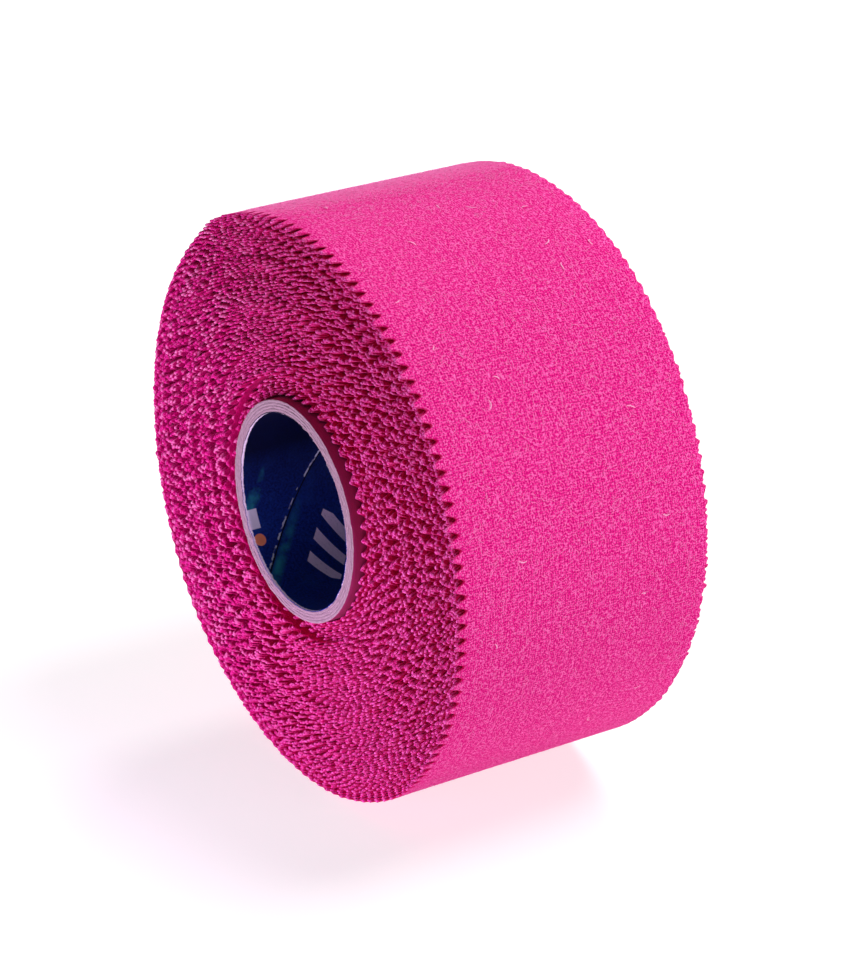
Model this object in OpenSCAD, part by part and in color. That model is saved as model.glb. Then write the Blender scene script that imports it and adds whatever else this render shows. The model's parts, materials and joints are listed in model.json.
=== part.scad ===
// Roll of pinked cotton grip tape on a spiral-wound paper core.
// The roll stands on its rim: its axis runs along Y and the origin is the centre of the bore.
// Angles around the roll run from +X towards +Z.

/* [Core] */
// Bore of the core
bore_d = 26.6; // [20:0.1:40]
// Thickness of the printed paper lining the bore
liner_t = 0.12; // [0.05:0.01:0.3]
// Thickness of one ply of board
board_t = 0.4; // [0.2:0.05:0.8]
// Length of the core, which stands a little proud of the tape at both ends
core_len = 39.2; // [38:0.1:45]

/* [Tape] */
// Width of the tape, from tooth tip to tooth tip
tape_w = 38; // [19:1:38]
// Thickness of the woven cotton backing
backing_t = 0.24; // [0.15:0.01:0.4]
// Thickness of the adhesive film under the backing
adhesive_t = 0.065; // [0.03:0.005:0.1]
// Full turns of tape on the core
turns = 80; // [10:1:100]

/* [Free end] */
// Angle around the roll at which the free end starts to lift
end_angle = 170; // [130:5:200]
// Length of the free end
end_len = 15; // [8:1:25]

/* [Hidden] */
$fn = 96;
boards = 4;
bore_r = bore_d/2;
liner_r = bore_r + liner_t;
core_r = liner_r + boards*board_t;
// Each turn lies one cloth and one adhesive film further out than the last
lap = backing_t + adhesive_t;
// Clearance either side of the adhesive film
film_gap = 0.005;
// Clearance between the free end and the turn below, and at its fold
end_gap = 0.05;
cloth_r = core_r + adhesive_t;
end_r = cloth_r + turns*lap;
end_sweep = end_len/end_r*180/PI;
fold_sweep = end_gap/end_r*180/PI;
// The winding wanders along the core: each band of turns has its first turn and its offset along Y
bands = [
  [0, 1],
  [10, -0.5],
  [15, 0],
  [22, 0.2],
  [31, -0.35],
  [38, 0.1],
  [48, 0.2],
  [58, -0.2],
  [68, 0]
];
function band_of(turn) = max([for (band = [0:len(bands) - 1]) if (bands[band][0] <= turn) band]);
function band_end(band) = band == band_of(turns - 1) ? turns : bands[band + 1][0];

// Turns a flat outline into a solid of the given length, centred on the roll's axis
module along_axis(length) {
  rotate([90, 0, 0])
    linear_extrude(length, center = true)
      children();
}

// One ply of the core
module tube(inner_r, wall) {
  along_axis(core_len)
    difference() {
      circle(inner_r + wall);
      circle(inner_r);
    }
}

// Half of a ring: side 1 is the half above the X axis, side -1 the half below it
module half_ring(inner_r, wall, side) {
  reach = 2*(inner_r + wall);
  intersection() {
    difference() {
      circle(inner_r + wall);
      circle(inner_r);
    }
    translate([0, side*reach/2])
      square([2*reach, reach], center = true);
  }
}

// A strip wound outwards by one lap a turn: the lower halves sit half a lap off centre
module wound_strip(start_r, wall) {
  for (band = [0:band_of(turns - 1)])
    translate([0, bands[band][1], 0])
      along_axis(tape_w)
        rotate(end_angle)
          for (turn = [bands[band][0]:band_end(band) - 1]) {
            half_ring(start_r + turn*lap, wall, 1);
            translate([lap/2, 0])
              half_ring(start_r + turn*lap + lap/2, wall, -1);
          }
}

// The short length of strip that carries on past the last full turn
module end_strip(inner_r, wall) {
  translate([0, bands[band_of(turns - 1)][1], 0])
    rotate([90, 0, 0])
      rotate_extrude(angle = end_sweep, start = end_angle + fold_sweep)
        translate([inner_r, -tape_w/2])
          square([wall, tape_w]);
}

module core_liner() {
  color("midnightblue")
    tube(bore_r, liner_t);
}

module core_board(ply) {
  color("thistle")
    tube(liner_r + (ply - 1)*board_t, board_t);
}

module tape_backing() {
  color("deeppink")
    wound_strip(cloth_r, backing_t);
}

module tape_adhesive() {
  color("lavenderblush")
    wound_strip(core_r + film_gap, adhesive_t - 2*film_gap);
}

module end_backing() {
  color("deeppink")
    end_strip(end_r, backing_t);
}

module end_adhesive() {
  color("lavenderblush")
    end_strip(end_r - adhesive_t + end_gap, adhesive_t - end_gap);
}

core_liner();
core_board(1);  // core_board_1
core_board(2);  // core_board_2
core_board(3);  // core_board_3
core_board(4);  // core_board_4
tape_backing();
tape_adhesive();
end_backing();
end_adhesive();
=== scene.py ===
"""Looks for the grip tape roll: a real spiral of pinked cotton tape on a lined paper core.

All lengths are in metres in the part's frame. The roll's axis is Y, the near face looks along -Y, and angles
around the roll run from +X towards +Z. Places along the tape are counted in turns from the core.
"""

import json
import math

import bpy
import numpy as np
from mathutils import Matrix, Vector


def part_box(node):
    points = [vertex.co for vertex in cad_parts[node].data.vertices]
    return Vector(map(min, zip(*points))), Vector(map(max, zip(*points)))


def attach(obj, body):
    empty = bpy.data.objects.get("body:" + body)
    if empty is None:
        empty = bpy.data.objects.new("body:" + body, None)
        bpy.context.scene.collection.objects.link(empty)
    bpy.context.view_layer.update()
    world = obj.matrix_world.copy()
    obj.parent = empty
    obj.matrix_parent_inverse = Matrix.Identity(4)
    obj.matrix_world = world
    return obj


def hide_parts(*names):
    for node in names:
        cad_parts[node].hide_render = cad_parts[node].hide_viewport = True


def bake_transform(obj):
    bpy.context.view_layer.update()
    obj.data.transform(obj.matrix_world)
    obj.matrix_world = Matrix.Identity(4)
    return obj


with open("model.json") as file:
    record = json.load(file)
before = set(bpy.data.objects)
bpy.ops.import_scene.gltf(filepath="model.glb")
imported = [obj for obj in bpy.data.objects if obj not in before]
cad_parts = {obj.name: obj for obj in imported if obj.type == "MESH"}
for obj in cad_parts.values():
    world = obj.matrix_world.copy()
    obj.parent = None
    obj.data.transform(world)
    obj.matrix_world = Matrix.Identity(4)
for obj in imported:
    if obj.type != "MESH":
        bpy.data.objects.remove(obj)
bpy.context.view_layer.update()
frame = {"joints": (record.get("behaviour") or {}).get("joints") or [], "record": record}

MM = 0.001
FULL_TURN = 2 * math.pi
WHITE = (1, 1, 1)

# ---------------------------------------------------------------- sizes

# Read from the frame
MOUNTS = {mount["name"]: mount for mount in frame["record"]["mounts"]}
HINGE = Vector(next(joint["pos_m"] for joint in frame["joints"] if joint["name"] == "end_peel"))
BORE_R = MOUNTS["core_bore"]["dims"]["r_mm"] * MM
LINER_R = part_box("core_liner")[1].x
BOARD_R = [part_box(f"core_board_{ply}")[1].x for ply in (1, 2, 3, 4)]
CORE_R = BOARD_R[-1]
CORE_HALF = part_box("core_board_4")[1].y
TAPE_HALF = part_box("end_backing")[1].y
END_ANGLE = math.atan2(HINGE.z, HINGE.x)
HINGE_R = math.hypot(HINGE.x, HINGE.z)

# The tape: its full turns, the thickness a turn adds, its cloth, its free end and its threads
TURNS = 80
LAP = (HINGE_R - CORE_R) / (TURNS + 1)
CLOTH = 0.255 * MM
END_LENGTH = 15 * MM
END_TURNS = END_LENGTH / (FULL_TURN * HINGE_R)
THREAD_PITCH = 0.36 * MM
# Gap between the adhesive film and the turn below it
FILM_GAP = 0.006 * MM
# How far before the end of the last full turn the free end's cloth and its film begin, in turns
CLOTH_LEAD = 0.03
FILM_LEAD = 0.02

# The pinked teeth: depth of the notches, and of those on the far edge's last turns
NOTCH = 1.4 * MM
FAR_NOTCH = 0.25 * MM
FAR_TURNS = 3
# Teeth on the first turn, and how many more each turn holds than the one below
TEETH_FIRST_TURN = 47.49
TEETH_MORE_PER_TURN = 0.9967
# How far along its tooth the tape starts, and how far the teeth stray from even spacing, in teeth
FIRST_TOOTH = 0.42
PHASE_WANDER = 0.42
# Teeth a turn by which the last turns are shifted so that each notch lies over a tooth of the turn below
STAGGER = -0.23
SAMPLES_PER_TOOTH = 8
# Share of the way from a notch to a tooth's tip at which the tooth is full height
TIP_START = 0.75
# Above 1 the notches are round at the bottom and steep at the sides
ROUNDING = 1.6
# Spread of the teeth's height and its limit, of their lean, and of single samples
TOOTH_SPREAD = 0.17 * MM
TOOTH_LIMIT = 0.35 * MM
LEAN_SPREAD = 0.05 * MM
RAGGEDNESS = 0.05 * MM
# How much thicker a tip is than the cloth, how far its middle stands out, and how deep the rounded edge goes
TIP_SWELL = 0.1 * MM
BEAD = 0.1 * MM
EDGE_BEVEL = 0.05 * MM
EDGE_DEPTH = 0.35 * MM
FRINGE_DEPTH = 4.5 * MM

# Points round a cross-section of the tape, and cross-sections in one piece of it
RING = 12
PIECE_SAMPLES = 8000
FILM_SAMPLES_PER_TURN = 120

# How far the tape is shifted towards the near side as it winds outwards: (turns, millimetres)
DRIFT = (
    (0.0, 0.1),
    (2.0, -0.3),
    (5.0, -0.9),
    (8.9, -1.3),
    (9.1, 0.6),
    (10.3, 0.6),
    (12.0, 0.0),
    (22.0, -0.35),
    (22.6, 0.3),
    (28.0, -0.1),
    (38.0, -0.25),
    (38.6, 0.3),
    (46.0, -0.1),
    (55.0, -0.25),
    (55.6, 0.2),
    (63.0, -0.1),
    (67.0, 0.15),
    (74.0, 0.0),
    (76.6, 0.2),
    (77.1, 0.1),
    (77.6, 0.4),
    (78.1, 0.2),
    (78.6, 0.7),
    (79.05, 0.7),
    (79.5, 0.9),
    (79.75, 0.9),
    (79.86, 0.7),
    (80.0, 0.4),
    (80.2, 0.3),
)

# Angles between which the near edge's last turns are pressed flat, in degrees, and the width of the soft step
PRESSED_FROM = 118
PRESSED_TO = 320
PRESSED_STEP = 12
# The first turns lie sunken in the face, and the tape steps up again at this turn
SUNKEN_TURNS = 8.5
STEP_TURN = 9.7

# The core's plies: columns round one, waves round its cut end, how deep the cut is uneven, and its bevel
PLY_COLUMNS = 720
PLY_WAVES = 120
PLY_INSET = 0.6 * MM
PLY_BEVEL = 0.04 * MM

# Lint: the angle round the roll where it is thickest, its spread, and the segments in one fibre
LINT_ANGLE = math.radians(110)
LINT_SPREAD = math.radians(12)
FIBRE_SEGMENTS = 5

# The liner's strip winds at this slope: shares of a step along it that go round the bore and along the axis
STRIP_ALONG = 0.776
STRIP_ACROSS = 0.631
# Where the seam lies across the strip, and how far round the bore the printed dot lies, in millimetres
SEAM_AT = 34.7
DOT_ROUND = 50.8

# The studio: name, place, target, width, watts and colour of each light
LIGHTS = (
    ("key", (0.27, 0.4, 0.88), (0, 0, 0), 0.5, 8.1, WHITE),
    ("side", (0.85, 0.25, 0.15), (0, 0, 0), 0.5, 2.3, WHITE),
    ("back", (-0.45, 0.5, 0.5), (0, 0, 0.02), 0.3, 3.4, WHITE),
    ("fill", (0.005, -0.1, -0.032), (0, 0, -0.032), 0.04, 0.09, (0.9, 0.44, 1.0)),
)
SKY = 0.16
FLOOR_HALF = 3.0
FLOOR_GAP = 0.05 * MM
# Where the last turn passes under the roll
LOWEST_TURN = TURNS - 0.78

CAMERA_AZIMUTH = math.radians(57.0)
CAMERA_ELEVATION = math.radians(24.2)
CAMERA_DISTANCE = 0.466
CAMERA_LENS = 145.6
CAMERA_SENSOR = 36.0
AIM_RIGHT = 1.75 * MM
AIM_DOWN = 0.2 * MM

rng = np.random.default_rng(7)

# ---------------------------------------------------------------- meshes


def new_mesh(name, verts, faces, material, uvs=None, smooth=True, values=None):
    """Makes an object from arrays.

    uvs has one row per vertex, and values holds one number per vertex by name."""
    mesh = bpy.data.meshes.new(name)
    faces = np.asarray(faces, np.int32)
    sides = faces.shape[1]
    mesh.vertices.add(len(verts))
    mesh.vertices.foreach_set("co", np.asarray(verts, np.float32).ravel())
    mesh.loops.add(faces.size)
    mesh.loops.foreach_set("vertex_index", faces.ravel())
    mesh.polygons.add(len(faces))
    mesh.polygons.foreach_set("loop_start", np.arange(0, faces.size, sides, dtype=np.int32))
    mesh.update(calc_edges=True)
    mesh.polygons.foreach_set("use_smooth", np.full(len(faces), smooth))
    if uvs is not None:
        layer = mesh.uv_layers.new(name="UVMap")
        layer.data.foreach_set("uv", np.asarray(uvs, np.float32)[faces.ravel()].ravel())
    for key, numbers in (values or {}).items():
        attribute = mesh.attributes.new(key, "FLOAT", "POINT")
        attribute.data.foreach_set("value", np.asarray(numbers, np.float32))
    mesh.materials.append(material)
    mesh.validate()
    obj = bpy.data.objects.new(name, mesh)
    bpy.context.scene.collection.objects.link(obj)
    return obj


def around(radius, angle, y):
    """Points at a radius and angle around the roll's axis, at y along it."""
    return np.stack([radius * np.cos(angle), y + 0 * angle, radius * np.sin(angle)], -1)


def grid_faces(rows, columns, closed=False):
    """Quads of a grid whose points are numbered row by row. closed joins the last column to the first."""
    span = columns if closed else columns - 1
    row, column = np.meshgrid(np.arange(rows - 1), np.arange(span), indexing="ij")
    after = (column + 1) % columns
    a = row * columns + column
    b = row * columns + after
    return np.stack([a, b, b + columns, a + columns], -1).reshape(-1, 4)


# ---------------------------------------------------------------- the wound tape


def teeth_before(turn):
    """How many teeth lie between the start of the tape and a place counted in turns."""
    return TEETH_FIRST_TURN * turn + TEETH_MORE_PER_TURN / 2 * turn**2


def turn_of_tooth(tooth):
    """The place, in turns, where a tooth lies."""
    a = TEETH_FIRST_TURN
    b = TEETH_MORE_PER_TURN
    return (-a + np.sqrt(a * a + 2 * b * tooth)) / b


def outer_radius(turn):
    """Radius of the tape's outer side at a place counted in turns."""
    return CORE_R + (turn + 1) * LAP


def length_at(turn):
    """Length of tape from its start to a place counted in turns."""
    return FULL_TURN * (outer_radius(0) * turn + LAP * turn**2 / 2)


def drift(turn):
    """How far the tape is shifted towards the near side at a place counted in turns."""
    places, heights = zip(*DRIFT)
    return np.interp(turn, places, heights) * MM


def tape_samples():
    """Places along the tape, in turns, with a steady number on every tooth."""
    last = teeth_before(TURNS + END_TURNS)
    count = int(last * SAMPLES_PER_TOOTH)
    return turn_of_tooth(np.linspace(0, last, count))


def wander(turn, spacing, strength):
    """Smooth random numbers along the tape, with a new value every so many turns."""
    knots = rng.normal(0, strength, int(turn[-1] / spacing) + 3)
    return np.interp(turn / spacing, np.arange(len(knots)), knots)


def flattened(turn):
    """Share of the near edge's teeth left standing.

    They are pressed flat on one side of the last turns, on the sunken first turns, and on the turn that steps
    up round those."""
    angle = np.degrees(np.mod(END_ANGLE + FULL_TURN * turn, FULL_TURN))
    after_start = np.clip((angle - PRESSED_FROM) / PRESSED_STEP, 0, 1)
    before_end = np.clip((PRESSED_TO - angle) / PRESSED_STEP, 0, 1)
    # Half of the height goes from turn 66 to turn 74, and most of the rest on the last full turn
    lost = 0.5 * np.clip((turn - 66) / 8, 0, 1) + 0.38 * np.clip(turn - 78, 0, 1)
    outer = after_start * before_end * lost
    step = 0.65 * np.clip(1.3 - np.abs(turn - STEP_TURN), 0, 1)
    sunken = 0.4 * np.clip((SUNKEN_TURNS - turn) / 2, 0, 1)
    return 1 - outer - step - sunken


def edge_profile(turn, notch, kept):
    """One pinked edge: how far each sample is cut back, its nearness to a tooth tip (0 to 1), and its lean."""
    slip = wander(turn, 0.13, PHASE_WANDER) * np.clip((TURNS - 3 - turn) / 3, 0.1, 1)
    slip += STAGGER * np.clip(turn - TURNS + 2.5, 0, 2.5)
    tooth = teeth_before(turn) + FIRST_TOOTH + slip
    tip = np.abs(2 * (tooth - np.floor(tooth)) - 1)
    number = np.round(tooth).astype(int)
    height = np.clip(rng.normal(0, TOOTH_SPREAD, number.max() + 2), -TOOTH_LIMIT, TOOTH_LIMIT)[number]
    lean = rng.normal(0, LEAN_SPREAD, number.max() + 2)[number]
    ragged = rng.normal(0, RAGGEDNESS, len(turn))
    share = notch / NOTCH
    rise = np.minimum(tip / TIP_START, 1) ** ROUNDING
    cut = notch * (1 - kept * rise) + share * kept * (height * tip + ragged)
    return cut, tip, lean * tip


def tape_section(turn):
    """Cross-sections of the tape: their points, their UVs, and numbers for the cloth's material.

    Those are the depth through the cloth, fraying (1 at a tooth tip) and painted shade (1 deep in a notch and
    on every turn that another turn covers)."""
    angle = END_ANGLE + FULL_TURN * turn
    outer = outer_radius(turn)
    inner = outer - CLOTH
    along = length_at(turn)
    # The winding strays slowly and quickly along the axis, and less on the last turns
    steady = np.clip((TURNS - turn) / 2, 0.25, 1)
    shift = -drift(turn) + wander(turn, 0.6, 0.15 * MM) * steady + wander(turn, 0.06, 0.05 * MM)
    covered = np.clip((TURNS - 1 - turn) / 0.01, 0, 1)
    near_notch = NOTCH + 0 * turn
    far_notch = NOTCH + (FAR_NOTCH - NOTCH) * np.clip(turn - TURNS + FAR_TURNS, 0, 1)
    sides = []
    for sign, notch, kept in ((-1, near_notch, flattened(turn)), (1, far_notch, 1.0)):
        cut, tip, lean = edge_profile(turn, notch, kept)
        edge = sign * (TAPE_HALF - cut) + shift
        plain = edge - sign * EDGE_DEPTH
        bead = edge + sign * BEAD
        deep = sign * (TAPE_HALF - FRINGE_DEPTH) + shift
        share = notch / NOTCH
        # Painted shade, full deep in a notch and none at a tooth tip; covered turns carry it everywhere else
        valley = (1 - tip) ** 0.8 * share
        swell = TIP_SWELL * tip**2 * share
        sides.append(
            [
                (outer, deep, 0 * tip, covered),
                (outer + lean / 2 + swell / 3, plain, 0 * tip, covered),
                (outer - EDGE_BEVEL + lean + swell, edge, tip * share, valley),
                (outer - CLOTH / 2 + lean, bead + sign * swell, tip * share, valley),
                (inner + EDGE_BEVEL + lean - swell, edge, tip * share, valley),
                (inner, plain, 0 * tip, covered),
            ]
        )
    ring = sides[0] + sides[1][::-1]
    verts = np.stack([around(radius, angle, y) for radius, y, _, _ in ring], 1)
    uvs = np.stack([np.stack([along, y], -1) for _, y, _, _ in ring], 1)
    values = {
        "through": np.stack([outer - radius for radius, _, _, _ in ring], 1),
        "fray": np.stack([fray for _, _, fray, _ in ring], 1),
        "painted_shade": np.stack([painted_shade for _, _, _, painted_shade in ring], 1),
    }
    return verts, uvs, values


def wound_tape(material):
    """The tape from the core to the tip of its free end, in pieces.

    The last piece is the free end and the short stretch that leads to it."""
    turn = tape_samples()
    verts, uvs, values = tape_section(turn)
    lead = int(np.searchsorted(turn, TURNS - CLOTH_LEAD))
    cuts = list(range(0, lead - PIECE_SAMPLES // 2, PIECE_SAMPLES)) + [lead, len(turn) - 1]
    cap = np.array([[k, k + 1, RING - 2 - k, RING - 1 - k] for k in range(RING // 2 - 1)])
    pieces = []
    for number, (first, last) in enumerate(zip(cuts[:-1], cuts[1:])):
        part = slice(first, last + 1)
        rows = last + 1 - first
        faces = np.vstack([grid_faces(rows, RING, closed=True), cap[:, ::-1], cap + (rows - 1) * RING])
        name = "tape_free_end" if last == len(turn) - 1 else f"tape_turns_{number + 1}"
        piece = new_mesh(
            name,
            verts[part].reshape(-1, 3),
            faces,
            material,
            uvs=uvs[part].reshape(-1, 2),
            values={key: numbers[part].ravel() for key, numbers in values.items()},
        )
        pieces.append(piece)
    return pieces


def adhesive_strip(name, start, end, material):
    """The adhesive film on the inner side of the tape between two places."""
    count = max(20, int((end - start) * FILM_SAMPLES_PER_TURN))
    turn = np.linspace(start, end, count)
    angle = END_ANGLE + FULL_TURN * turn
    outer = outer_radius(turn) - CLOTH
    inner = outer_radius(turn) - LAP + FILM_GAP
    half = TAPE_HALF - NOTCH - 2.5 * MM
    ring = [(outer, -half), (inner, -half), (inner, half), (outer, half)]
    shift = -drift(turn)
    verts = np.stack([around(radius, angle, y + shift) for radius, y in ring], 1).reshape(-1, 3)
    uvs = np.stack([np.stack([length_at(turn), y + 0 * turn], -1) for _, y in ring], 1).reshape(-1, 2)
    last_row = (count - 1) * 4
    faces = np.vstack([grid_faces(count, 4, closed=True), [[3, 2, 1, 0]], [[last_row + k for k in range(4)]]])
    return new_mesh(name, verts, faces, material, uvs=uvs)


# ---------------------------------------------------------------- fibres


def fibres(name, start, heading, lengths, curl, radius, material):
    """Fine curled fibres lying flat on the outside of the roll, each a thin flattened three-sided strand.

    start holds (length round the roll, y) for each fibre."""
    count = len(start)
    segments = FIBRE_SEGMENTS
    step = lengths[:, None] / segments
    turning = heading[:, None] + np.cumsum(curl[:, None] + rng.normal(0, 0.25, (count, segments)), 1)
    at_start = np.zeros((count, 1))
    along = np.concatenate([at_start, np.cumsum(step * np.cos(turning), 1)], 1) + start[:, :1]
    y = np.concatenate([at_start, np.cumsum(step * np.sin(turning), 1)], 1) + start[:, 1:]
    angle = along / HINGE_R
    last_turn = np.mod(angle - END_ANGLE, FULL_TURN) / FULL_TURN
    arch = np.sin(np.linspace(0.1, 0.9, segments + 1) * math.pi)
    lift = rng.uniform(0.2, 2.5, (count, 1)) * radius * arch
    centre = around(outer_radius(TURNS - 1 + last_turn) + radius / 2 + lift, angle, y)
    tangent = np.gradient(centre, axis=1)
    tangent /= np.linalg.norm(tangent, axis=2, keepdims=True)
    side = np.cross(tangent, around(np.ones_like(angle), angle, 0 * angle))
    side /= np.linalg.norm(side, axis=2, keepdims=True)
    up = np.cross(side, tangent)
    taper = np.sqrt(np.clip(1 - np.linspace(-1, 1, segments + 1) ** 4, 0.15, 1))[None, :, None]
    outline = ((-1.0, 0.0), (0.0, 0.3), (1.0, 0.0))
    ring = [centre + radius * taper * (aside * side + above * up) for aside, above in outline]
    verts = np.stack(ring, 2).reshape(-1, 3)
    points_in_one = (segments + 1) * 3
    one = grid_faces(segments + 1, 3, closed=True)
    faces = (one[None] + (np.arange(count) * points_in_one)[:, None, None]).reshape(-1, 4)
    return new_mesh(name, verts, faces, material, smooth=False)


def lint(material, pale):
    """Short curled cotton fibres over the outside of the roll, thickest on its top, and a few pale slubs."""
    reach = TAPE_HALF - 1.4 * NOTCH
    made = []
    for name, count, on_top, longest, radius, look in (
        ("lint_1", 9000, 0.5, 1.0 * MM, 0.034 * MM, material),
        ("lint_2", 1200, 0.4, 1.7 * MM, 0.028 * MM, material),
        ("slubs", 60, 0.0, 1.6 * MM, 0.07 * MM, pale),
    ):
        angle = rng.uniform(0, FULL_TURN, count)
        top = rng.uniform(0, 1, count) < on_top
        angle = np.where(top, rng.normal(LINT_ANGLE, LINT_SPREAD, count), angle)
        made.append(
            fibres(
                name,
                np.stack([angle * HINGE_R, rng.uniform(-reach, reach, count)], -1),
                rng.uniform(0, FULL_TURN, count),
                rng.uniform(0.4, 1.0, count) * longest,
                rng.normal(0, 0.4, count),
                radius,
                look,
            )
        )
    return made


# ---------------------------------------------------------------- core


def ply_tube(name, inner, outer, half, material, end_wave):
    """One ply of the core: a tube whose cut ends are slightly uneven.

    On the cut ends the second UV runs across the ply, and elsewhere it runs along the axis."""
    angle = np.linspace(0, FULL_TURN, PLY_COLUMNS + 1)[:-1]
    waves = np.resize(rng.normal(0, end_wave, PLY_WAVES - 1), PLY_WAVES)
    wave = np.interp(angle, np.linspace(0, FULL_TURN, PLY_WAVES), waves)
    ends = half + wave + rng.normal(0, end_wave * 0.5, PLY_COLUMNS)
    bevel = min(PLY_BEVEL, (outer - inner) * 0.3)
    profile = []
    for sign in (-1, 1):
        middle = ends + 0.02 * MM * rng.normal(0, 1, PLY_COLUMNS)
        rows = [
            (outer, sign * (half - PLY_INSET), False, 1.0),
            (outer, sign * (ends - bevel), False, 1.0),
            (outer - bevel, sign * ends, True, 0.0),
            ((inner + outer) / 2, sign * middle, True, 0.0),
            (inner + bevel, sign * ends, True, 0.0),
            (inner, sign * (ends - bevel), False, 0.0),
            (inner, sign * (half - PLY_INSET), False, 0.0),
        ]
        profile += rows if sign < 0 else rows[::-1]
    seam_angle = np.append(angle, FULL_TURN)
    verts = []
    uvs = []
    for radius, y, on_end, _ in profile:
        y = np.broadcast_to(y, angle.shape)
        ring = around(radius, angle, y)
        second = radius + 0 * seam_angle if on_end else np.append(y, y[0])
        verts.append(np.concatenate([ring, ring[:1]]))
        uvs.append(np.stack([seam_angle * inner, second], -1))
    outside = np.tile([flag for _, _, _, flag in profile], PLY_COLUMNS + 1)
    return new_mesh(
        name,
        np.stack(verts, 1).reshape(-1, 3),
        grid_faces(PLY_COLUMNS + 1, len(profile), closed=True),
        material,
        uvs=np.stack(uvs, 1).reshape(-1, 2),
        values={"outside": outside if outer == CORE_R else 0 * outside},
    )


def core(board, liner):
    """The liner and the four plies of board."""
    made = [ply_tube("liner_paper", BORE_R, LINER_R, CORE_HALF + 0.05 * MM, liner, 0.06 * MM)]
    inner = LINER_R
    for ply, outer in enumerate(BOARD_R, 1):
        made.append(ply_tube(f"board_ply_{ply}", inner, outer, CORE_HALF, board, 0.03 * MM))
        inner = outer
    return made


# ---------------------------------------------------------------- materials


class Nodes:
    """Short names for adding shader nodes to one material."""

    def __init__(self, name):
        self.material = bpy.data.materials.new(name)
        self.material.use_nodes = True
        self.tree = self.material.node_tree
        self.shader = self.tree.nodes["Principled BSDF"]

    def add(self, kind, **settings):
        node = self.tree.nodes.new(kind)
        for key, value in settings.items():
            setattr(node, key, value)
        return node

    def link(self, source, target):
        self.tree.links.new(source, target)

    def put(self, target, value):
        """Sets a socket to a number, or links it to another socket."""
        if isinstance(value, bpy.types.NodeSocket):
            self.link(value, target)
        else:
            target.default_value = value

    def look(self, colour, **constants):
        """Links the base colour, and sets the shader's other sockets by name, with _ for each space."""
        self.link(colour, self.shader.inputs["Base Color"])
        for key, value in constants.items():
            self.shader.inputs[key.replace("_", " ")].default_value = value

    def math(self, operation, a, b=None, c=None):
        node = self.add("ShaderNodeMath", operation=operation)
        for socket, value in zip(node.inputs, (a, b, c)):
            if value is not None:
                self.put(socket, value)
        return node.outputs[0]

    def noise(self, vector, scale, detail=2.0, roughness=0.5):
        node = self.add("ShaderNodeTexNoise")
        self.put(node.inputs["Vector"], vector)
        node.inputs["Scale"].default_value = scale
        node.inputs["Detail"].default_value = detail
        node.inputs["Roughness"].default_value = roughness
        return node.outputs["Fac"]

    def ramp(self, value, low, high, to_low=0.0, to_high=1.0):
        node = self.add("ShaderNodeMapRange")
        for socket, number in zip(node.inputs, (value, low, high, to_low, to_high)):
            self.put(socket, number)
        return node.outputs[0]

    def mix(self, share, a, b):
        node = self.add("ShaderNodeMix", data_type="RGBA")
        self.put(node.inputs["Factor"], share)
        self.put(node.inputs[6], a)
        self.put(node.inputs[7], b)
        return node.outputs[2]

    def band(self, value, centre, half, soft):
        """1 within half of centre, fading to 0 over soft."""
        off = self.math("ABSOLUTE", self.math("SUBTRACT", value, centre))
        return self.ramp(off, half + soft, half)

    def spot(self, x, y, at_x, at_y, half, soft):
        """1 inside a round spot, fading to 0 over soft."""
        across = self.math("SUBTRACT", x, at_x)
        up = self.math("SUBTRACT", y, at_y)
        squares = self.math("ADD", self.math("MULTIPLY", across, across), self.math("MULTIPLY", up, up))
        return self.band(self.math("SQRT", squares), 0.0, half, soft)

    def bump(self, height, distance, strength=1.0):
        node = self.add("ShaderNodeBump")
        node.inputs["Strength"].default_value = strength
        node.inputs["Distance"].default_value = distance
        self.link(height, node.inputs["Height"])
        self.link(node.outputs["Normal"], self.shader.inputs["Normal"])

    def uv(self):
        return self.add("ShaderNodeTexCoord").outputs["UV"]

    def place(self):
        return self.add("ShaderNodeTexCoord").outputs["Object"]

    def attribute(self, name):
        return self.add("ShaderNodeAttribute", attribute_name=name).outputs["Fac"]

    def split(self, vector):
        node = self.add("ShaderNodeSeparateXYZ")
        self.link(vector, node.inputs[0])
        return node.outputs[:3]

    def join(self, *numbers):
        node = self.add("ShaderNodeCombineXYZ")
        for socket, value in zip(node.inputs, numbers):
            self.put(socket, value)
        return node.outputs[0]


def rgb(red, green, blue):
    """A display colour from 0 to 255 as a linear colour."""

    def linear(value):
        value = value / 255
        return value / 12.92 if value <= 0.04045 else ((value + 0.055) / 1.055) ** 2.4

    return (linear(red), linear(green), linear(blue), 1.0)


def weave(n, u, v):
    """Height of the woven threads from 0 to 1, and a place in the cloth (along, across, through)."""
    place = n.join(u, v, n.attribute("through"))
    wobble = n.noise(place, 900, 2)
    threads = []
    for length, sway in ((u, 1.6), (v, -1.6)):
        phase = n.math("MULTIPLY_ADD", length, math.pi / THREAD_PITCH, n.math("MULTIPLY", wobble, sway))
        threads.append(n.math("ABSOLUTE", n.math("SINE", phase)))
    return n.math("MULTIPLY", n.math("ADD", threads[0], threads[1]), 0.5), place


def curls(n, place, scale, width):
    """Thin curling lines, like loose fibres lying on cloth."""
    field = n.noise(place, scale, 1)
    return n.ramp(n.math("ABSOLUTE", n.math("SUBTRACT", field, 0.5)), width, 0.0)


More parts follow.
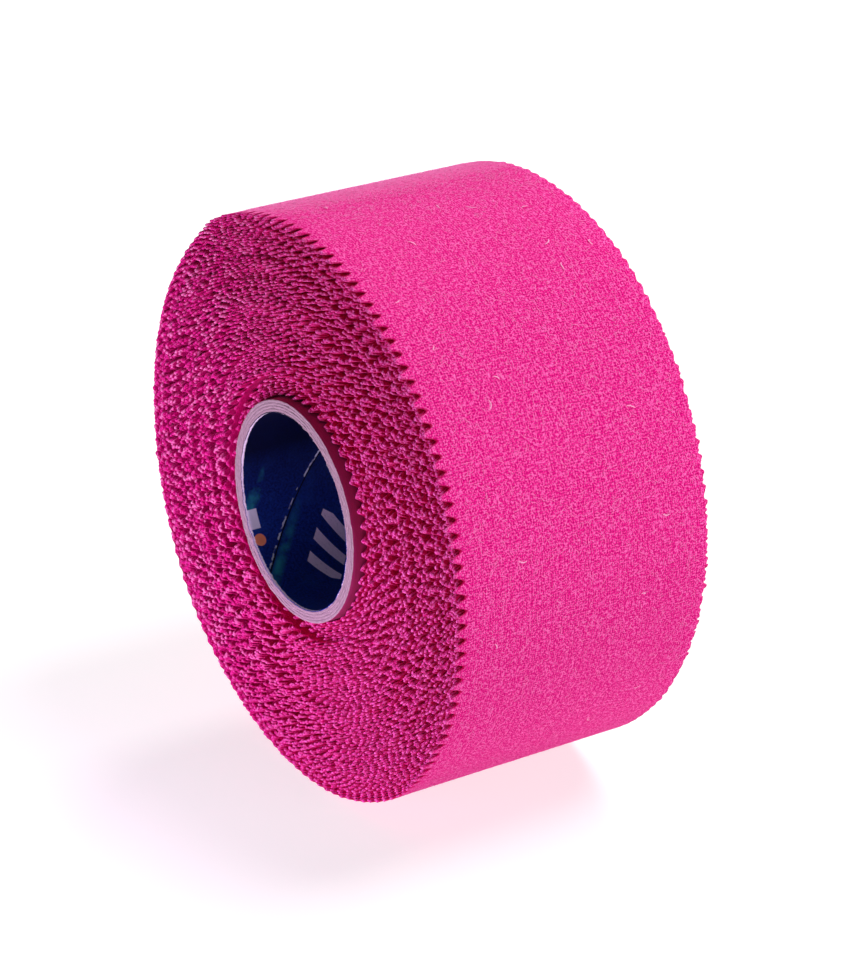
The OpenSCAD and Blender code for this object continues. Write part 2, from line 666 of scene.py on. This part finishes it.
def cotton():
    """Hot-pink woven cotton with a nap of curled fibres.

    It has painted shade in the notches and on covered turns, is paler where the edge frays, has more pale
    tufts and painted purple light on the left, and a painted sheen along the roll's top."""
    n = Nodes("cotton")
    u, v, _ = n.split(n.uv())
    threads, place = weave(n, u, v)
    cloud = n.noise(place, 70, 3)
    fuzz = n.noise(place, 4800, 2, 0.6)
    spot = n.place()
    x, _, z = n.split(spot)

    # The cloth's own colour, from its fuzz and threads
    lit = n.math("ADD", n.math("MULTIPLY", fuzz, 0.72), n.math("MULTIPLY", threads, 0.26))
    base = n.mix(n.ramp(lit, 0.42, 0.6), rgb(178, 0, 92), rgb(240, 24, 142))
    base = n.mix(n.ramp(cloud, 0.3, 0.7, 0.0, 0.2), base, rgb(220, 10, 126))

    # Pale curled fibres of the nap, and pale specks
    nap = n.math("MAXIMUM", curls(n, place, 2200, 0.06), curls(n, place, 1300, 0.035))
    nap = n.math("MULTIPLY", nap, n.ramp(n.noise(place, 2300, 1), 0.44, 0.56))
    base = n.mix(n.math("MULTIPLY", nap, 0.75), base, rgb(255, 118, 198))
    base = n.mix(n.ramp(fuzz, 0.56, 0.66, 0.0, 0.7), base, rgb(255, 128, 200))

    # A painted sheen: a pale mottled band along the top of the outer turn, where light grazes the cloth
    painted_sheen_place = n.math("MINIMUM", n.ramp(x, -3 * MM, -13 * MM), n.ramp(z, 20 * MM, 30 * MM))
    outside = n.ramp(n.attribute("through"), 0.04 * MM, 0.0)
    painted_sheen_mottle = n.ramp(n.noise(place, 1500, 2), 0.36, 0.5, 0.0, 0.85)
    painted_sheen_mottle = n.math("MULTIPLY", painted_sheen_mottle, n.math("MULTIPLY", painted_sheen_place, outside))
    base = n.mix(painted_sheen_mottle, base, rgb(255, 136, 200))

    # Frayed tooth tips; on the left of the face more pale tufts and other tip and notch colours, partly
    # fuzzier thread ends and partly painted purple light
    left_fray_and_light = n.ramp(x, 0.0, -20 * MM)
    tufts = n.ramp(n.noise(spot, 700, 2), 0.5, 0.58)
    tufts = n.math("MULTIPLY", tufts, n.ramp(left_fray_and_light, 0.0, 1.0, 0.2, 0.85))
    speck = n.mix(left_fray_and_light, rgb(255, 128, 216), rgb(240, 62, 172))
    tips = n.mix(n.ramp(fuzz, 0.42, 0.6), rgb(204, 0, 116), speck)
    tips = n.mix(tufts, tips, rgb(255, 156, 212))
    base = n.mix(n.ramp(n.attribute("fray"), 0.45, 0.95, 0.0, 0.9), base, tips)
    # Painted shade deep in the notches and on covered turns, purpler on the left as painted light
    deep = n.mix(left_fray_and_light, rgb(182, 0, 68), rgb(176, 0, 96))
    base = n.mix(n.ramp(n.attribute("painted_shade"), 0.2, 0.75, 0.0, 0.92), base, deep)

    n.look(
        base,
        Roughness=0.85,
        Specular_IOR_Level=0.05,
        Sheen_Weight=0.6,
        Sheen_Roughness=0.2,
        Sheen_Tint=rgb(255, 96, 180),
    )
    n.bump(n.math("MULTIPLY_ADD", fuzz, 0.9, n.math("MULTIPLY", threads, 0.3)), 0.07 * MM, 0.9)
    return n.material


def fluff(name, colour):
    """A loose cotton fibre."""
    n = Nodes(name)
    darker = tuple(0.8 * part for part in colour[:3]) + (1.0,)
    n.look(n.mix(n.noise(n.place(), 400, 2), colour, darker), Roughness=0.9, Specular_IOR_Level=0.1)
    return n.material


def adhesive():
    """Matt, slightly mottled rubber-resin film with a pink cast from the cloth."""
    n = Nodes("adhesive")
    mottle = n.noise(n.uv(), 700, 4, 0.6)
    n.look(n.mix(n.ramp(mottle, 0.35, 0.65), rgb(226, 178, 196), rgb(240, 212, 220)), Roughness=0.5)
    n.bump(mottle, 0.05 * MM, 0.5)
    return n.material


def paperboard():
    """Lilac-grey recycled board, streaked along the plies where it is cut, and crimson outside the core as a
    painted pink reflection of the tape in painted shade.
    """
    n = Nodes("paperboard")
    uv = n.uv()
    u, v, _ = n.split(uv)
    streak = n.noise(n.join(n.math("MULTIPLY", u, 0.12), v), 9000, 3, 0.6)
    grain = n.noise(uv, 3500, 3, 0.6)
    mixed = n.math("MULTIPLY_ADD", streak, 0.65, n.math("MULTIPLY", grain, 0.35))
    colour = n.mix(n.ramp(mixed, 0.35, 0.65), rgb(136, 116, 124), rgb(184, 164, 168))
    # The outside of the core: a painted pink reflection of the tape, darkened as painted shade
    colour = n.mix(n.ramp(n.attribute("outside"), 0.0, 1.0), colour, rgb(160, 24, 96))
    n.look(colour, Roughness=0.9)
    n.bump(mixed, 0.06 * MM, 0.7)
    return n.material


def printed_liner():
    """Navy printed paper: its winding seam, teal scuffs, plain slanted bars, a dot, a block and torn ends."""
    n = Nodes("printed_liner")
    uv = n.uv()
    u, v, _ = n.split(uv)
    grain = n.noise(uv, 3000, 3, 0.6)
    patch = n.noise(uv, 240, 3, 0.6)

    # Places in millimetres: round the bore, in from the near end, and along and across the wound strip
    round_mm = n.math("MULTIPLY", u, 1 / MM)
    depth_mm = n.math("MULTIPLY_ADD", v, 1 / MM, TAPE_HALF / MM)
    along = n.math("MULTIPLY_ADD", round_mm, -STRIP_ALONG, n.math("MULTIPLY", depth_mm, STRIP_ACROSS))
    across = n.math("MULTIPLY_ADD", round_mm, STRIP_ACROSS, n.math("MULTIPLY", depth_mm, STRIP_ALONG))
    from_seam = n.math("SUBTRACT", across, SEAM_AT)

    # Navy paper, with painted shade over the upper part of the bore
    colour = n.mix(n.ramp(grain, 0.35, 0.65), rgb(8, 24, 92), rgb(22, 54, 158))
    colour = n.mix(n.ramp(patch, 0.5, 0.8, 0.0, 0.5), colour, rgb(34, 74, 168))
    one_side = n.ramp(round_mm, 50.0, 38.0, 0.0, 0.94)
    other_side = n.ramp(round_mm, 0.0, 14.0, 0.0, 0.94)
    colour = n.mix(n.math("MINIMUM", one_side, other_side), colour, rgb(0, 0, 24))

    # Teal scuffs beside the seam and at the near end
    by_seam = n.math("MULTIPLY", n.band(from_seam, 1.2, 0.3, 0.6), n.ramp(depth_mm, 8.0, 3.0))
    at_end = n.math("MULTIPLY", n.band(from_seam, -5.6, 0.5, 0.7), n.ramp(depth_mm, 3.0, 2.0))
    teal = n.math("MULTIPLY", n.math("MAXIMUM", by_seam, at_end), n.ramp(patch, 0.4, 0.6))
    colour = n.mix(n.math("MULTIPLY", teal, 0.7), colour, rgb(44, 156, 170))

    # A row of plain slanted bars in groups, a dot and a block
    slant = n.math("MULTIPLY_ADD", from_seam, 0.55, along)
    bars = n.band(n.math("PINGPONG", slant, 1.9), 1.9, 0.85, 0.1)
    row = n.band(from_seam, 7.1, 2.4, 0.1)
    groups = n.band(n.math("PINGPONG", n.math("ADD", along, 14.3), 11.0), 0.0, 5.2, 0.1)
    marks = n.math("MULTIPLY", n.math("MULTIPLY", bars, groups), row)
    marks = n.math("MULTIPLY", marks, n.ramp(grain, 0.3, 0.45, 0.8, 1.0))
    colour = n.mix(marks, colour, rgb(252, 226, 255))
    colour = n.mix(n.spot(round_mm, depth_mm, DOT_ROUND, 0.4, 0.8, 0.1), colour, rgb(255, 146, 112))
    beside_dot = n.band(round_mm, DOT_ROUND - 2.9, 1.3, 0.1)
    block = n.math("MULTIPLY", beside_dot, n.band(depth_mm, 0.2, 0.8, 0.1))
    colour = n.mix(block, colour, rgb(236, 226, 255))

    # The seam's dark line and the pale fibres torn along it
    frayed = n.math("MULTIPLY_ADD", n.noise(uv, 2500, 2), 0.3, from_seam)
    torn_seam = n.math("MULTIPLY", n.band(frayed, 0.15, 0.07, 0.08), n.ramp(n.noise(uv, 800, 1), 0.46, 0.54))
    colour = n.mix(n.band(from_seam, 0.25, 0.06, 0.08), colour, rgb(0, 0, 12))
    colour = n.mix(torn_seam, colour, rgb(196, 200, 220))

    # The torn ends
    past_end = n.math("SUBTRACT", n.math("ABSOLUTE", v), CORE_HALF - 0.3 * MM)
    past_end = n.math("ADD", past_end, -0.25 * MM)
    ragged = n.math("MULTIPLY_ADD", n.noise(uv, 1400, 3, 0.7), 0.5 * MM, past_end)
    colour = n.mix(n.ramp(ragged, 0.0, 0.05 * MM), colour, rgb(236, 226, 240))

    n.look(colour, Roughness=0.5, Specular_IOR_Level=0.15)
    n.bump(grain, 0.02 * MM, 0.4)
    return n.material


def floor_material():
    """A pale floor that glows a little, so that it stays nearly white."""
    n = Nodes("floor")
    n.shader.inputs["Base Color"].default_value = (0.45, 0.45, 0.45, 1)
    n.shader.inputs["Emission Color"].default_value = (1, 1, 1, 1)
    n.shader.inputs["Emission Strength"].default_value = 0.68
    n.shader.inputs["Roughness"].default_value = 0.9
    n.shader.inputs["Specular IOR Level"].default_value = 0.1
    return n.material


# ---------------------------------------------------------------- studio


def area_light(name, place, target, size, power, colour):
    """A round soft light that the camera doesn't see."""
    light = bpy.data.lights.new(name, "AREA")
    light.shape = "DISK"
    light.size = size
    light.energy = power
    light.color = colour
    holder = bpy.data.objects.new(name, light)
    holder.visible_camera = False
    holder.location = place
    holder.rotation_euler = (Vector(place) - Vector(target)).to_track_quat("Z", "Y").to_euler()
    bpy.context.scene.collection.objects.link(holder)


def pale_floor():
    """A wide floor just under the roll."""
    z = -outer_radius(LOWEST_TURN) - FLOOR_GAP
    low = -FLOOR_HALF
    high = FLOOR_HALF
    square = [(low, low, z), (high, low, z), (high, high, z), (low, high, z)]
    new_mesh("floor", square, [[0, 1, 2, 3]], floor_material(), smooth=False)


def white_sky():
    """A dim white sky that the camera sees as plain white."""
    world = bpy.data.worlds.new("studio")
    bpy.context.scene.world = world
    world.use_nodes = True
    tree = world.node_tree
    seen = tree.nodes.new("ShaderNodeLightPath").outputs["Is Camera Ray"]
    strength = tree.nodes.new("ShaderNodeMapRange")
    strength.inputs["To Min"].default_value = SKY
    strength.inputs["To Max"].default_value = 1.0
    tree.links.new(seen, strength.inputs["Value"])
    tree.links.new(strength.outputs[0], tree.nodes["Background"].inputs["Strength"])
    tree.nodes["Background"].inputs["Color"].default_value = (1, 1, 1, 1)


def long_lens_camera():
    """The camera, looking down on the near face from the right."""
    camera = bpy.data.cameras.new("camera")
    camera.sensor_fit = "HORIZONTAL"
    camera.sensor_width = CAMERA_SENSOR
    camera.lens = CAMERA_LENS
    camera.clip_start = 0.01
    towards = Vector(
        (
            math.sin(CAMERA_AZIMUTH) * math.cos(CAMERA_ELEVATION),
            -math.cos(CAMERA_AZIMUTH) * math.cos(CAMERA_ELEVATION),
            math.sin(CAMERA_ELEVATION),
        )
    )
    right = Vector((math.cos(CAMERA_AZIMUTH), math.sin(CAMERA_AZIMUTH), 0))
    up = towards.cross(right)
    holder = bpy.data.objects.new("camera", camera)
    holder.rotation_euler = towards.to_track_quat("Z", "Y").to_euler()
    holder.location = right * AIM_RIGHT - up * AIM_DOWN + towards * CAMERA_DISTANCE
    bpy.context.scene.collection.objects.link(holder)
    bpy.context.scene.camera = holder


def studio():
    """The floor, the sky, the lights and the camera."""
    bpy.context.scene.view_settings.view_transform = "Standard"
    pale_floor()
    white_sky()
    for settings in LIGHTS:
        area_light(*settings)
    long_lens_camera()


# ---------------------------------------------------------------- assembly


def bend_at_crease(piece):
    """Bakes a piece's placement into its mesh; it is put on no body and nothing makes it bend."""
    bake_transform(piece)


def build_tape(cloth, tacky):
    """The wound tape, its free end and their adhesive film."""
    *turns, free_end = wound_tape(cloth)
    for piece in turns:
        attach(piece, "roll")
    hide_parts("tape_backing")
    bend_at_crease(free_end)
    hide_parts("end_backing")
    film = adhesive_strip("adhesive_film", 0.0, TURNS - FILM_LEAD, tacky)
    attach(film, "roll")
    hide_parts("tape_adhesive")
    end_film = adhesive_strip("adhesive_free_end", TURNS - FILM_LEAD, TURNS + END_TURNS * 0.97, tacky)
    bend_at_crease(end_film)
    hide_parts("end_adhesive")


def build_core(board, liner):
    """The core's plies, each in place of its CAD node."""
    for piece in core(board, liner):
        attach(piece, "roll")
        node = "core_liner" if piece.name == "liner_paper" else piece.name.replace("board_ply", "core_board")
        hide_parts(node)


def build_lint(loose, slub):
    """The loose fibres on the rim."""
    for piece in lint(loose, slub):
        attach(piece, "roll")


build_tape(cotton(), adhesive())
build_core(paperboard(), printed_liner())
build_lint(fluff("lint", rgb(255, 132, 202)), fluff("slub", rgb(255, 176, 220)))
studio()
